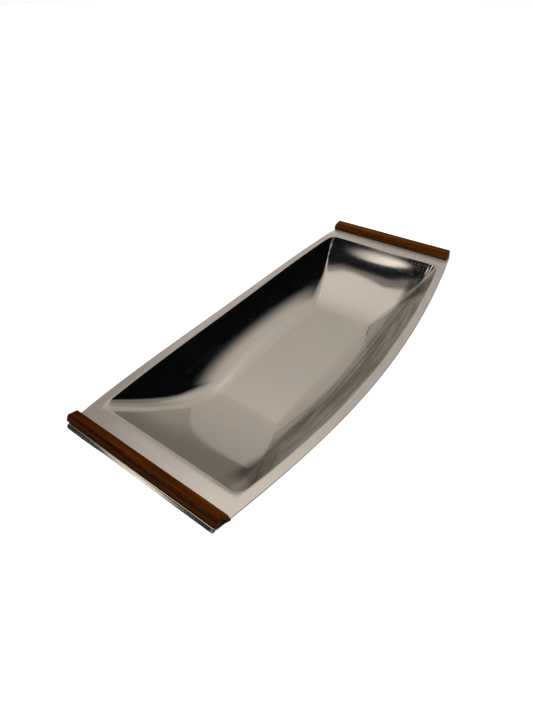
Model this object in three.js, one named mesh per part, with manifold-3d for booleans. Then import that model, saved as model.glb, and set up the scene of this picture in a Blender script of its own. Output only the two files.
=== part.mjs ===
// A shallow serving tray: one pressed stainless-steel pan with a bowed outline and rising ends,
// and a wooden grip bar screwed on top of each end, over a folded hem of the sheet.
//
// Millimetres. X runs across the tray, Y along it and Z up. The origin is on the table,
// under the middle of the flat floor.

import * as THREE from "three";
import { mergeVertices } from "three/addons/utils/BufferGeometryUtils.js";
import Module from "manifold-3d";

const wasm = await Module();
wasm.setup();

// ---- Driving dimensions -------------------------------------------------------------------

const SHEET = 0.9; // thickness of the steel
const GAP = 0.3; // clearance between pieces that touch on the real tray

const DEPTH = 26; // floor to flange at mid-length, both measured on the upper side
const END_RISE = 10.64; // how far the flange has climbed at the grip line
const RISE_FULLNESS = 0.385; // 0 climbs as a parabola, more climbs earlier and then levels off

const GRIP_LINE = 166; // middle of the tray to the inner edge of a grip bar
const FLANGE_FLAT = 9.6; // flat sheet outside the grip line, up to the hem's fold
const OUTLINE_HALF_WIDTH = 63; // outline at the grip line
const OUTLINE_BOW = 13.6; // how much wider the outline is at mid-length

const RIM_HALF_LENGTH = 153.4;
const RIM_HALF_WIDTH = 57.6; // at the ends of the basin
const RIM_BOW = 11.6; // how much wider the basin is at mid-length
const RIM_CORNER = 9.5; // length of sheet that each corner takes from its two sides at the rim

const FLOOR_HALF_LENGTH = 72.2;
const FLOOR_HALF_WIDTH = 27.3;

// The corners differ: far right, far left, near left, near right. Each takes these lengths from
// the long wall and the end wall at the floor, and tightens to them faster with a higher taper.
const FLOOR_SIDE_CUTS = [5, 0.7, 34, 2];
const FLOOR_END_CUTS = [2, 0.7, 2, 2];
const CORNER_TAPERS = [4, 9, 1.2, 1.6];

const WALL_CURVE = 1.85; // how strongly a wall is dished: 1 is a straight slope
const WALL_STRAIGHT_SHARE = 0.12; // share of straight slope, which leaves a crease at the floor
const SIDE_ROUNDING = 1.2; // half the width of the soft turn from flange to wall, at the sides
const FAR_ROUNDING = 1.2; // the same at the far end
const NEAR_ROUNDING = 2.3; // and at the near end
const CREASE_ROUNDING = 1.8; // the same, from wall to floor

const HEM_RADIUS = 1.7; // outside of the fold
const HEM_LIP = 8.8; // flat part of the sheet folded back under the bar

// The hand-shaped bars differ a little. A section lists [outward, up] corners on the flange; ends
// give the places across the tray where the left and right ends cut the [inner, outer] faces.
const BARS = {
  near: {
    section: [[0, GAP], [9.1, GAP], [8.2, 6.35], [2.1, 6.5]],
    left: [-60.8, -64.9],
    right: [63.8, 60],
  },
  far: {
    section: [[0, GAP], [9.3, GAP], [8.9, 7.4], [2.1, 6.65]],
    left: [-63.6, -63.4],
    right: [62.2, 61.8],
  },
};
const BAR_EDGE_RADIUS = 0.8;
const BAR_TIP_RADIUS = 1.4; // rounding of the ends, seen from above
const BAR_STOCK = 140; // length and height of the blanks that a bar is cut from
const BAR_STOCK_HEIGHT = 20;

const SCREW_SPACING = 84; // between the two screws of one bar
const SCREW_FROM_GRIP_LINE = 4.6;
const SCREW_SHANK_RADIUS = 1.3;
const SCREW_HEAD_RADIUS = 2.7;
const SCREW_HEAD_HEIGHT = 1.6;
const SCREW_BITE = 4.9; // how far the tip stands above the flange
const SCREW_POINT = 2;

// Mesh fineness: segments along a long side, an end and a corner of each loop of the pan.
const SIDE_SEGMENTS = 26;
const END_SEGMENTS = 12;
const CORNER_SEGMENTS = 6;
const LOOP_POINTS = 2 * (SIDE_SEGMENTS + END_SEGMENTS) + 4 * CORNER_SEGMENTS;
const FOLD_SEGMENTS = 7;
const LIP_SEGMENTS = 2;
const EDGE_SEGMENTS = 4; // along each rounded edge of a bar
const TURNED_SEGMENTS = 16; // round a screw or a screw hole
const MERGE_DISTANCE = 1e-4;

// ---- Derived places -----------------------------------------------------------------------

const FLOOR_TOP = SHEET;
const FLANGE_TOP = FLOOR_TOP + DEPTH; // at mid-length
const OUTLINE_HALF_LENGTH = GRIP_LINE + FLANGE_FLAT;
const GRIP_SLOPE = riseSlope(GRIP_LINE);

// ---- Materials ----------------------------------------------------------------------------

const steel = new THREE.MeshStandardMaterial({ color: 0xb9b2ab, roughness: 0.28, metalness: 1 });
const wood = new THREE.MeshStandardMaterial({ color: 0x5a3218, roughness: 0.5, metalness: 0 });
const screwSteel = new THREE.MeshStandardMaterial({ color: 0x8f8c88, roughness: 0.35, metalness: 1 });

// ---- Form of the pan ----------------------------------------------------------------------

// Height of the flange above its mid-length level, y millimetres along the tray.
function rise(y) {
  const t = (y / GRIP_LINE) ** 2;
  return END_RISE * t * (1 + RISE_FULLNESS * (1 - t));
}

function riseSlope(y) {
  const t = (y / GRIP_LINE) ** 2;
  return ((2 * END_RISE * y) / GRIP_LINE ** 2) * (1 + RISE_FULLNESS * (1 - 2 * t));
}

function outlineHalfWidth(y) {
  return OUTLINE_HALF_WIDTH + OUTLINE_BOW * (1 - (y / GRIP_LINE) ** 2);
}

// Share of the basin's depth that a wall has dropped, at share s of the way from rim to floor.
function wallDrop(s) {
  const dished = 1 - (1 - s) ** WALL_CURVE;
  return WALL_STRAIGHT_SHARE * s + (1 - WALL_STRAIGHT_SHARE) * dished;
}

// Zero before -width, the value itself after +width, and a parabola that joins them between.
function softRamp(value, width) {
  if (value <= -width) return 0;
  if (value >= width) return value;
  return (value + width) ** 2 / (4 * width);
}

// The loops around the tray are numbered by level: -1 is the outline, 0 the basin's rim and
// 1 the edge of the floor. These give a loop's size at any level between.
function halfLengthAt(level) {
  const far = level < 0 ? OUTLINE_HALF_LENGTH : FLOOR_HALF_LENGTH;
  return THREE.MathUtils.lerp(RIM_HALF_LENGTH, far, Math.abs(level));
}

function halfWidthAt(level, along) {
  const rim = RIM_HALF_WIDTH + RIM_BOW * (1 - along ** 2);
  const far = level < 0 ? outlineHalfWidth(along * OUTLINE_HALF_LENGTH) : FLOOR_HALF_WIDTH;
  return THREE.MathUtils.lerp(rim, far, Math.abs(level));
}

// Lengths that a quarter's corner takes from the long side and from the end.
function cornerCuts(quarter, level) {
  const left = (1 - Math.max(0, level)) ** CORNER_TAPERS[quarter];
  return {
    sideCut: THREE.MathUtils.lerp(FLOOR_SIDE_CUTS[quarter], RIM_CORNER, left),
    endCut: THREE.MathUtils.lerp(FLOOR_END_CUTS[quarter], RIM_CORNER, left),
  };
}

// A point of a quarter's corner, from the long side (t = 0) to the end (t = 1), as if the
// quarter were the first one.
function cornerPoint(quarter, level, t) {
  const length = halfLengthAt(level);
  const { sideCut, endCut } = cornerCuts(quarter, level);
  const sideAlong = (length - sideCut) / length;
  const side = new THREE.Vector2(halfWidthAt(level, sideAlong), length - sideCut);
  const apex = new THREE.Vector2(halfWidthAt(level, 1), length);
  const end = new THREE.Vector2(apex.x - endCut, length);
  const round = new THREE.QuadraticBezierCurve(side, apex, end).getPoint(t);
  const square = t < 0.5 ? side.lerp(apex, 2 * t) : apex.lerp(end, 2 * t - 1);
  return round.lerp(square, Math.max(0, -level));
}

const QUARTER_STEPS = LOOP_POINTS / 4;
const SIDE_STEPS = SIDE_SEGMENTS / 2;

// The quarter that point number i lies in, and its step from the middle of the long side.
function quarterAndStep(i) {
  const quarter = Math.floor(i / QUARTER_STEPS) % 4;
  const step = i % QUARTER_STEPS;
  return { quarter, step: quarter % 2 === 1 ? QUARTER_STEPS - step : step };
}

function quarterPoint(quarter, level, step) {
  const length = halfLengthAt(level);
  const { sideCut, endCut } = cornerCuts(quarter, level);
  if (step <= SIDE_STEPS) {
    const along = ((step / SIDE_STEPS) * (length - sideCut)) / length;
    return new THREE.Vector2(halfWidthAt(level, along), along * length);
  }
  if (step < SIDE_STEPS + CORNER_SEGMENTS) {
    return cornerPoint(quarter, level, (step - SIDE_STEPS) / CORNER_SEGMENTS);
  }
  const across = (QUARTER_STEPS - step) / (END_SEGMENTS / 2);
  return new THREE.Vector2(across * (halfWidthAt(level, 1) - endCut), length);
}

// Half the width of the soft turn at the rim, at point number i.
function rimRounding(i) {
  const { quarter, step } = quarterAndStep(i);
  const turn = THREE.MathUtils.clamp((step - SIDE_STEPS) / CORNER_SEGMENTS, 0, 1);
  return THREE.MathUtils.lerp(SIDE_ROUNDING, quarter < 2 ? FAR_ROUNDING : NEAR_ROUNDING, turn);
}

// Point number i of the loop at a level, anticlockwise from the middle of the +X side.
function planPoint(level, i) {
  const { quarter, step } = quarterAndStep(i);
  const p = quarterPoint(quarter, level, step);
  const signX = quarter === 0 || quarter === 3 ? 1 : -1;
  const signY = quarter < 2 ? 1 : -1;
  return new THREE.Vector2(signX * p.x, signY * p.y);
}

// Point number i of the upper side, inset millimetres inside the rim (negative on the flange).
function surfacePoint(inset, i) {
  const rimPoint = planPoint(0, i);
  const wallWidth = rimPoint.distanceTo(planPoint(1, i));
  const flangeWidth = rimPoint.distanceTo(planPoint(-1, i));
  const level = inset < 0 ? Math.max(-1, inset / flangeWidth) : inset / wallWidth;
  const p = planPoint(Math.min(level, 1), i);
  const drop = Math.min(softRamp(inset, rimRounding(i)), wallWidth);
  const left = softRamp(wallWidth - drop, CREASE_ROUNDING);
  const share = wallDrop(1 - Math.min(1, left / wallWidth));
  const top = FLANGE_TOP + rise(inset < 0 ? p.y : rimPoint.y);
  return new THREE.Vector3(p.x, p.y, THREE.MathUtils.lerp(top, FLOOR_TOP, share));
}

// The rows of the upper side, from the outline to the floor.
function panRows() {
  const flangeShares = [1, 0.45];
  const filletShares = [-1, -0.35, 0.35, 1];
  const wallShares = [0.09, 0.2, 0.32, 0.45, 0.58, 0.71, 0.84, 0.94];
  const numbers = Array.from({ length: LOOP_POINTS }, (_, i) => i);
  const widthOf = (i, level) => planPoint(0, i).distanceTo(planPoint(level, i));
  const flange = flangeShares.map((share) =>
    numbers.map((i) => surfacePoint(-share * widthOf(i, -1), i)),
  );
  const fillet = filletShares.map((share) =>
    numbers.map((i) => surfacePoint(share * rimRounding(i), i)),
  );
  const wall = wallShares.map((share) =>
    numbers.map((i) => surfacePoint(THREE.MathUtils.lerp(rimRounding(i), widthOf(i, 1), share), i)),
  );
  const floorEdge = numbers.map((i) => surfacePoint(widthOf(i, 1), i));
  return [...flange, ...fillet, ...wall, floorEdge];
}

// The hem at one end (+1 or -1): the sheet turns down round the fold and comes back under it.
function hemRows(outline, end) {
  const half = LOOP_POINTS / 2;
  const middle = end > 0 ? QUARTER_STEPS : QUARTER_STEPS + half;
  const reach = END_SEGMENTS / 2 + CORNER_SEGMENTS / 2;
  const edge = outline.slice(middle - reach, middle + reach + 1);
  const slope = Math.atan(riseSlope(OUTLINE_HALF_LENGTH));
  const along = new THREE.Vector2(Math.cos(slope), Math.sin(slope));
  const up = new THREE.Vector2(-Math.sin(slope), Math.cos(slope));
  const place = (outward, upward) =>
    edge.map((p) => {
      const y = OUTLINE_HALF_LENGTH + along.x * outward + up.x * upward;
      const x = (p.x * outlineHalfWidth(y)) / outlineHalfWidth(OUTLINE_HALF_LENGTH);
      return new THREE.Vector3(x, end * y, p.z + along.y * outward + up.y * upward);
    });
  const rows = [edge];
  for (let k = 1; k <= FOLD_SEGMENTS; k += 1) {
    const turn = (Math.PI * k) / FOLD_SEGMENTS;
    rows.push(place(HEM_RADIUS * Math.sin(turn), HEM_RADIUS * (Math.cos(turn) - 1)));
  }
  for (let k = 1; k <= LIP_SEGMENTS; k += 1) {
    rows.push(place((-HEM_LIP * k) / LIP_SEGMENTS, -2 * HEM_RADIUS));
  }
  return rows;
}

// ---- Mesh helpers -------------------------------------------------------------------------

// Triangles between neighbouring rows of points; the left side of each row faces up.
function skinRows(rows, closed, triangles) {
  const count = rows[0].length;
  const quads = closed ? count : count - 1;
  for (let k = 0; k + 1 < rows.length; k += 1) {
    for (let i = 0; i < quads; i += 1) {
      const j = (i + 1) % count;
      const [a, b, c, d] = [rows[k][i], rows[k][j], rows[k + 1][j], rows[k + 1][i]];
      triangles.push([a, b, c], [a, c, d]);
    }
  }
}

function skinCap(row, centre, triangles) {
  row.forEach((p, i) => triangles.push([p, row[(i + 1) % row.length], centre]));
}

function geometryOf(triangles) {
  const positions = triangles.flat().flatMap((p) => [p.x, p.y, p.z]);
  const geometry = new THREE.BufferGeometry();
  geometry.setAttribute("position", new THREE.Float32BufferAttribute(positions, 3));
  return mergeVertices(geometry, MERGE_DISTANCE);
}

// A closed body: the given open surface, a copy set back by the thickness, and the edge walls.
function thicken(surface, thickness) {
  surface.computeVertexNormals();
  const position = surface.attributes.position;
  const normal = surface.attributes.normal;
  const points = Array.from({ length: position.count }, (_, i) =>
    new THREE.Vector3().fromBufferAttribute(position, i),
  );
  const backs = points.map((p, i) =>
    new THREE.Vector3().fromBufferAttribute(normal, i).multiplyScalar(-thickness).add(p),
  );
  const index = Array.from(surface.index.array);
  const edges = new Set();
  const triangles = [];
  for (let t = 0; t < index.length; t += 3) {
    const [a, b, c] = index.slice(t, t + 3);
    triangles.push([points[a], points[b], points[c]], [backs[a], backs[c], backs[b]]);
    [[a, b], [b, c], [c, a]].forEach(([from, to]) => edges.add(`${from},${to}`));
  }
  for (const edge of edges) {
    const [from, to] = edge.split(",").map(Number);
    if (!edges.has(`${to},${from}`)) {
      triangles.push([points[to], points[from], backs[from]], [points[to], backs[from], backs[to]]);
    }
  }
  return geometryOf(triangles);
}

function solidOf(geometry) {
  const bare = geometry.index ? geometry.toNonIndexed() : geometry.clone();
  bare.deleteAttribute("normal");
  bare.deleteAttribute("uv");
  const merged = mergeVertices(bare, MERGE_DISTANCE);
  return new wasm.Manifold(
    new wasm.Mesh({
      numProp: 3,
      vertProperties: new Float32Array(merged.attributes.position.array),
      triVerts: new Uint32Array(merged.index.array),
    }),
  );
}

function geometryOfSolid(solid) {
  const mesh = solid.getMesh();
  const geometry = new THREE.BufferGeometry();
  geometry.setAttribute("position", new THREE.BufferAttribute(mesh.vertProperties, 3));
  geometry.setIndex(new THREE.BufferAttribute(mesh.triVerts, 1));
  return geometry;
}

function namedMesh(name, geometry, material) {
  const mesh = new THREE.Mesh(geometry, material);
  mesh.name = name;
  return mesh;
}

// A polygon with every corner rounded by the same radius.
function roundedShape(corners, radius) {
  const shape = new THREE.Shape();
  const count = corners.length;
  corners.forEach((corner, i) => {
    const before = corners[(i + count - 1) % count];
    const after = corners[(i + 1) % count];
    const entry = corner.clone().add(before.clone().sub(corner).setLength(radius));
    const exit = corner.clone().add(after.clone().sub(corner).setLength(radius));
    if (i === 0) shape.moveTo(entry.x, entry.y);
    else shape.lineTo(entry.x, entry.y);
    shape.quadraticCurveTo(corner.x, corner.y, exit.x, exit.y);
  });
  shape.closePath();
  return shape;
}

// Extrudes a shape and turns it so that its own x, y and depth run along the given directions.
function extruded(shape, depth, xAxis, yAxis, depthAxis) {
  const settings = { depth, bevelEnabled: false, curveSegments: EDGE_SEGMENTS };
  const geometry = new THREE.ExtrudeGeometry(shape, settings);
  geometry.translate(0, 0, -depth / 2);
  geometry.applyMatrix4(new THREE.Matrix4().makeBasis(xAxis, yAxis, depthAxis));
  return geometry;
}

// ---- Pieces -------------------------------------------------------------------------------

const X = new THREE.Vector3(1, 0, 0);
const Y = new THREE.Vector3(0, 1, 0);
const Z = new THREE.Vector3(0, 0, 1);

// Each end of the tray has a frame of its own: it sits on the flange at the grip line, its y
// points outward and its z stands square to the sloping flange.
function endFrame(end) {
  const turned = new THREE.Group();
  turned.rotation.z = end > 0 ? 0 : Math.PI;
  const tilted = new THREE.Group();
  tilted.position.set(0, GRIP_LINE, FLANGE_TOP + rise(GRIP_LINE));
  tilted.rotation.x = Math.atan(GRIP_SLOPE);
  turned.add(tilted);
  return { turned, tilted };
}

const screwPlaces = [-SCREW_SPACING / 2, SCREW_SPACING / 2];

// A round hole through everything between two heights at a screw's place in the end's frame.
function screwHole(x, bottom, top) {
  const hole = new THREE.CylinderGeometry(
    SCREW_SHANK_RADIUS + GAP,
    SCREW_SHANK_RADIUS + GAP,
    top - bottom,
    TURNED_SEGMENTS,
  );
  hole.rotateX(Math.PI / 2);
  hole.translate(x, SCREW_FROM_GRIP_LINE, (bottom + top) / 2);
  return hole;
}

function panGeometry() {
  const triangles = [];
  const rows = panRows();
  skinRows(rows, true, triangles);
  skinCap(rows[rows.length - 1], new THREE.Vector3(0, 0, FLOOR_TOP), triangles);
  // The hem is skinned outward from the outline, so its rows run the other way round.
  skinRows(hemRows(rows[0], 1).map((row) => row.reverse()), false, triangles);
  skinRows(hemRows(rows[0], -1).map((row) => row.reverse()), false, triangles);
  let solid = solidOf(thicken(geometryOf(triangles), SHEET));
  const underHem = -3 * HEM_RADIUS;
  for (const end of [-1, 1]) {
    const { turned, tilted } = endFrame(end);
    turned.updateMatrixWorld(true);
    for (const x of screwPlaces) {
      const hole = screwHole(x, underHem, HEM_RADIUS).applyMatrix4(tilted.matrixWorld);
      solid = solid.subtract(solidOf(hole));
    }
  }
  return geometryOfSolid(solid);
}

// A grip bar in its end's frame: its cross-section run along X, trimmed to its plan. The near
// end's frame is turned half round, which swaps left and right.
function barGeometry(word, end) {
  const { section, left, right } = BARS[word];
  const corners = section.map(([outward, up]) => new THREE.Vector2(outward, up));
  const run = extruded(roundedShape(corners, BAR_EDGE_RADIUS), BAR_STOCK, Y, Z, X);
  const foot = section[1][0];
  const plan = [
    new THREE.Vector2(end * left[0], 0),
    new THREE.Vector2(end * left[1], foot),
    new THREE.Vector2(end * right[1], foot),
    new THREE.Vector2(end * right[0], 0),
  ];
  if (end > 0) plan.reverse();
  const trim = extruded(roundedShape(plan, BAR_TIP_RADIUS), BAR_STOCK_HEIGHT, X, Y, Z);
  let solid = solidOf(run).intersect(solidOf(trim));
  const belowFoot = -1;
  for (const x of screwPlaces) {
    solid = solid.subtract(solidOf(screwHole(x, belowFoot, SCREW_BITE + GAP)));
  }
  return geometryOfSolid(solid);
}

// A round-head wood screw in its end's frame, driven up through both layers of the hem.
function screwGeometry() {
  const seat = -2 * HEM_RADIUS - GAP;
  const profile = [new THREE.Vector2(0, seat - SCREW_HEAD_HEIGHT)];
  const domeSteps = 5;
  for (let k = 1; k <= domeSteps; k += 1) {
    const angle = (Math.PI / 2) * (k / domeSteps);
    const height = seat - SCREW_HEAD_HEIGHT * Math.cos(angle);
    profile.push(new THREE.Vector2(SCREW_HEAD_RADIUS * Math.sin(angle), height));
  }
  profile.push(
    new THREE.Vector2(SCREW_SHANK_RADIUS, seat),
    new THREE.Vector2(SCREW_SHANK_RADIUS, SCREW_BITE - SCREW_POINT),
    new THREE.Vector2(0, SCREW_BITE),
  );
  return new THREE.LatheGeometry(profile, TURNED_SEGMENTS).rotateX(Math.PI / 2);
}

function gripEnd(end, word) {
  const { turned, tilted } = endFrame(end);
  tilted.add(namedMesh(`${word}_grip_bar`, barGeometry(word, end), wood));
  screwPlaces.forEach((x) => {
    const side = x * end > 0 ? "right" : "left";
    const screw = namedMesh(`${word}_${side}_bar_screw`, screwGeometry(), screwSteel);
    screw.position.set(x, SCREW_FROM_GRIP_LINE, 0);
    tilted.add(screw);
  });
  return turned;
}

// ---- Assembly -----------------------------------------------------------------------------

const tray = new THREE.Group();
tray.add(namedMesh("steel_pan", panGeometry(), steel));
tray.add(gripEnd(-1, "near"));
tray.add(gripEnd(1, "far"));

export default tray;
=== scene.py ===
"""A worn stainless-steel serving tray with a dark wooden grip bar across each end.

The fine pan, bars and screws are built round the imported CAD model. Sizes are in millimetres in the
shape functions and turn into metres in one place, make_object.
"""

import math

import bpy
import numpy as np
from mathutils import Matrix, Vector


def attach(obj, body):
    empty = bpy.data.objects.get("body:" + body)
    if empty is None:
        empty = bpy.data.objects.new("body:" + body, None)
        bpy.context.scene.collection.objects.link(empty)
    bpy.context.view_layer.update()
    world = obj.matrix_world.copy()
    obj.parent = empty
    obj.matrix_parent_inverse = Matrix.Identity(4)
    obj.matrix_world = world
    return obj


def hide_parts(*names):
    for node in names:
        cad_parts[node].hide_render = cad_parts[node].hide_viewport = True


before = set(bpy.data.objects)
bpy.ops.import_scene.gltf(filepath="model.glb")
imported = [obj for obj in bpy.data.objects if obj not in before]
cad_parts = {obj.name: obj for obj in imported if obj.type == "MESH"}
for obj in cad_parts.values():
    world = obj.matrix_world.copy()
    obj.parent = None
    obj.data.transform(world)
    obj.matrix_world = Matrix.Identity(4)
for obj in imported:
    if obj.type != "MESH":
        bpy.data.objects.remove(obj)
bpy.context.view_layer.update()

MM = 0.001

# ---- Driving dimensions of the pan, in millimetres -------------------------------------------

SHEET = 0.9  # thickness of the steel
DEPTH = 26.0  # floor to flange at mid-length, on the upper side
END_RISE = 10.64  # how far the flange has climbed at the grip line
RISE_FULLNESS = 0.385  # how early it climbs: 0 is a plain parabola

GRIP_LINE = 166.0  # middle of the tray to the inner edge of a grip bar
FLANGE_FLAT = 9.58  # flat sheet outside the grip line, up to the hem's fold
OUTLINE_HALF_WIDTH = 63.0
OUTLINE_BOW = 13.6

RIM_HALF_LENGTH = 153.4
RIM_HALF_WIDTH = 57.6
RIM_BOW = 11.6
RIM_CORNER = 9.5
RIM_SKEW = 0.6  # how far the left rim is turned: further out at the far end

FLOOR_HALF_LENGTH = 72.2
FLOOR_HALF_WIDTH = 27.3

# The tray's four corners differ a little: far right, far left, near left, near right.
OUTLINE_CORNERS = (1.5, 2.0, 0.8, 1.2)  # rounding of the sheet
FLOOR_SIDE_CUTS = (3.0, 0.3, 31.0, 2.0)  # length of long wall bent into the corner, at the floor
FLOOR_END_CUTS = (3.0, 0.3, 3.0, 2.0)  # the same along the end wall
CORNER_TAPERS = (9.0, 16.0, 1.0, 1.6)  # how fast the corner tightens below the rim
SIDE_SWELLS = (5.0, 17.0, 2.0, 0.0)  # extra bend two thirds of the way down
END_SWELLS = (3.0, 3.0, 3.0, 0.0)

WALL_CURVE = 1.85
WALL_STRAIGHT_SHARE = 0.12
SIDE_ROUNDING = 0.6  # half the width of the soft turn from flange to wall, along the long sides
END_ROUNDINGS = (0.5, 3.1)  # the same at the far end and the near end
CREASE_ROUNDING = 1.6

HEM_RADIUS = 1.7
HEM_LIP = 8.8
HEM_TIP = 4.0  # over this length the fold draws in towards each tip
HEM_TIP_SHARES = (1.0, 0.9)  # fullness left at the left and right tips

HEM_SAG = 1.7  # the fold hangs this much lower at its left end
HEM_SAG_PLACES = (-22.0, -46.0)  # where it starts to hang, and where it hangs fully
HEM_SAG_WIDTH = 2.2  # how far under the fold it reaches
HEM_SAG_THINNING = 0.07  # share of the sag that the fold loses outwards
HEM_FLARE = 0.8  # the fold spreads this much past the flange at its left tip
HEM_FLARE_LENGTH = 5.0
HEM_FLARE_POWER = 0.3  # below 1 the fold is already wide just under the flange

POLISH_START = 1.2  # the polish starts this far outside the rim
POLISH_FADE = 1.6
UNDERSIDE_POLISH = 0.45
HEM_POLISH = 0.70
HEM_POLISH_REACH = 0.3  # how far onto the flange the hem's polish comes

# ---- Driving dimensions of the bars and screws ------------------------------------------------

# Cross-sections of the bars, as (outward from the grip line, up from the flange).
BAR_SECTIONS = {
    "near": ((0.0, 0.05), (9.5, 0.05), (8.2, 6.30), (2.1, 6.45)),
    "far": ((0.0, 0.05), (9.2, 0.05), (8.4, 7.32), (2.1, 6.60)),
}
BAR_EDGE_RADIUS = 0.8
BAR_TIP_RADII = {"near": (0.9, 0.9), "far": (1.6, 0.7)}  # rounding of the left and right tips
BAR_END_SWELLS = {"near": 1.6, "far": 3.0}  # above 1 the ends stand upright and round over on top
BAR_DENT = 0.10  # depth of the unevenness left by hand sanding
# Where the left and right ends cut the four edges of the section, in the same order.
BAR_ENDS = {
    "near": ((-61.8, -63.8, -62.0, -60.8), (64.2, 61.3, 59.6, 63.6)),
    "far": ((-63.9, -63.9, -62.6, -62.0), (61.2, 60.8, 60.3, 60.8)),
}

SCREW_SPACING = 84.0
SCREW_FROM_GRIP_LINE = 4.6
SCREW_SHANK_RADIUS = 1.3
SCREW_HEAD_RADIUS = 2.7
SCREW_HEAD_HEIGHT = 1.6
SCREW_BRIM = 0.35  # upright part of the head, under the dome
SCREW_CHAMFER = 0.1
SCREW_BITE = 4.9  # how far the screw stands above the flange, in the wood
SCREW_POINT = 2.0  # length of the tapered point
SCREW_TIP_RADIUS = 0.15
SCREW_GAP = 0.05  # between the hem and the screw's head
SCREW_SLOT = (0.7, 0.8)  # width and depth

# Fineness of the pan's mesh
SIDE_STEPS = 120  # along half of a long side
CORNER_STEPS = 24
END_STEPS = 50  # along half of an end
FLANGE_ROWS = 7
FILLET_ROWS = 13
WALL_ROWS = 44
CREASE_ROWS = 6
FLOOR_ROWS = 13
FLOOR_REACHED = 0.97  # how near to the floor's middle the rows come
FOLD_ROWS = 18
LIP_ROWS = 12
EDGE_STEPS = 6  # round the sheet's edge
QUARTER_STEPS = SIDE_STEPS + CORNER_STEPS + END_STEPS
LOOP_POINTS = 4 * QUARTER_STEPS

# Fineness of the bars' mesh
BAR_STEPS = 90
BAR_TIP_STEPS = 8
BAR_CAP_SHARES = (0.3, 0.7)  # rings on the end faces, as shares of the way out from the centre

FLOOR_TOP = SHEET
FLANGE_TOP = FLOOR_TOP + DEPTH
OUTLINE_HALF_LENGTH = GRIP_LINE + FLANGE_FLAT


# ---- Form of the pan ---------------------------------------------------------------------------


def mix(a, b, share):
    return a + (b - a) * share


def rise(y):
    """Height of the flange above its mid-length level."""
    t = (y / GRIP_LINE) ** 2
    return END_RISE * t * (1 + RISE_FULLNESS * (1 - t))


def rise_slope(y):
    t = (y / GRIP_LINE) ** 2
    return 2 * END_RISE * y / GRIP_LINE**2 * (1 + RISE_FULLNESS * (1 - 2 * t))


def outline_half_width(y):
    return OUTLINE_HALF_WIDTH + OUTLINE_BOW * (1 - (y / GRIP_LINE) ** 2)


def wall_drop(s):
    """Share of the depth that a wall has dropped, at share s of the way from rim to floor."""
    dished = 1 - (1 - s) ** WALL_CURVE
    return WALL_STRAIGHT_SHARE * s + (1 - WALL_STRAIGHT_SHARE) * dished


def soft_ramp(value, width):
    """Zero before -width, the value itself after +width, and a parabola between them."""
    blend = (value + width) ** 2 / (4 * width)
    return np.where(value <= -width, 0.0, np.where(value >= width, value, blend))


# The loops round the tray are numbered by level: -1 is the outline, 0 the basin's rim and 1 the
# edge of the floor. Every array below holds one value for each point of a loop, which starts at
# the middle of the +X side and runs anticlockwise.
POINT = np.arange(LOOP_POINTS)
QUARTER = POINT // QUARTER_STEPS
WITHIN = POINT % QUARTER_STEPS
STEP = np.where(QUARTER % 2 == 1, QUARTER_STEPS - WITHIN, WITHIN).astype(float)
SIGN_X = np.where((QUARTER == 0) | (QUARTER == 3), 1.0, -1.0)
SIGN_Y = np.where(QUARTER < 2, 1.0, -1.0)
TURN = np.clip((STEP - SIDE_STEPS) / CORNER_STEPS, 0, 1)  # 0 on the long side, 1 on the end
RIM_ROUNDING = mix(SIDE_ROUNDING, np.where(SIGN_Y > 0, *END_ROUNDINGS), TURN)


def half_length_at(level):
    far = np.where(level < 0, OUTLINE_HALF_LENGTH, FLOOR_HALF_LENGTH)
    return mix(RIM_HALF_LENGTH, far, np.abs(level))


def half_width_at(level, along):
    skew = RIM_SKEW * np.where(SIGN_X < 0, SIGN_Y, 0) * along * (1 - np.abs(level))
    rim = RIM_HALF_WIDTH + RIM_BOW * (1 - along**2) + skew
    outline = outline_half_width(along * OUTLINE_HALF_LENGTH)
    return mix(rim, np.where(level < 0, outline, FLOOR_HALF_WIDTH), np.abs(level))


def corner_cuts(level):
    """Lengths that the rounded corner takes from the long side and from the end."""
    inside = np.clip(level, 0, 1)
    left = (1 - inside) ** np.take(CORNER_TAPERS, QUARTER)
    swell = (6.75 * inside**2 * (1 - inside)) ** 3
    outside = mix(RIM_CORNER, np.take(OUTLINE_CORNERS, QUARTER), np.clip(-level, 0, 1))
    cuts = []
    for floor_cuts, swells in ((FLOOR_SIDE_CUTS, SIDE_SWELLS), (FLOOR_END_CUTS, END_SWELLS)):
        cut = mix(np.take(floor_cuts, QUARTER), RIM_CORNER, left) + swell * np.take(swells, QUARTER)
        cuts.append(np.where(level < 0, outside, cut))
    return cuts


def plan_points(level):
    """x and y of every point of the loop; level is one number or one for each point."""
    level = np.broadcast_to(np.asarray(level, float), POINT.shape)
    length = half_length_at(level)
    side_cut, end_cut = corner_cuts(level)
    on_side = np.clip(STEP / SIDE_STEPS, 0, 1) * (length - side_cut)
    side_x, side_y = half_width_at(level, on_side / length), on_side
    apex_x, apex_y = half_width_at(level, np.ones_like(level)), length
    # The corner is a parabola from the side to the end.
    start_x, start_y = half_width_at(level, (length - side_cut) / length), length - side_cut
    end_x = apex_x - end_cut
    to_start, to_end = (1 - TURN) ** 2, TURN**2
    corner_x = apex_x + (start_x - apex_x) * to_start + (end_x - apex_x) * to_end
    corner_y = apex_y + (start_y - apex_y) * to_start
    across = np.clip((QUARTER_STEPS - STEP) / END_STEPS, 0, 1)
    x = np.where(STEP <= SIDE_STEPS, side_x, corner_x)
    y = np.where(STEP <= SIDE_STEPS, side_y, corner_y)
    on_end = STEP >= SIDE_STEPS + CORNER_STEPS
    x = np.where(on_end, across * end_x, x)
    y = np.where(on_end, length, y)
    return np.stack([SIGN_X * x, SIGN_Y * y], axis=1)


RIM_PLAN = plan_points(0)
WALL_WIDTH = np.linalg.norm(plan_points(1) - RIM_PLAN, axis=1)
FLANGE_WIDTH = np.linalg.norm(plan_points(-1) - RIM_PLAN, axis=1)


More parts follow.
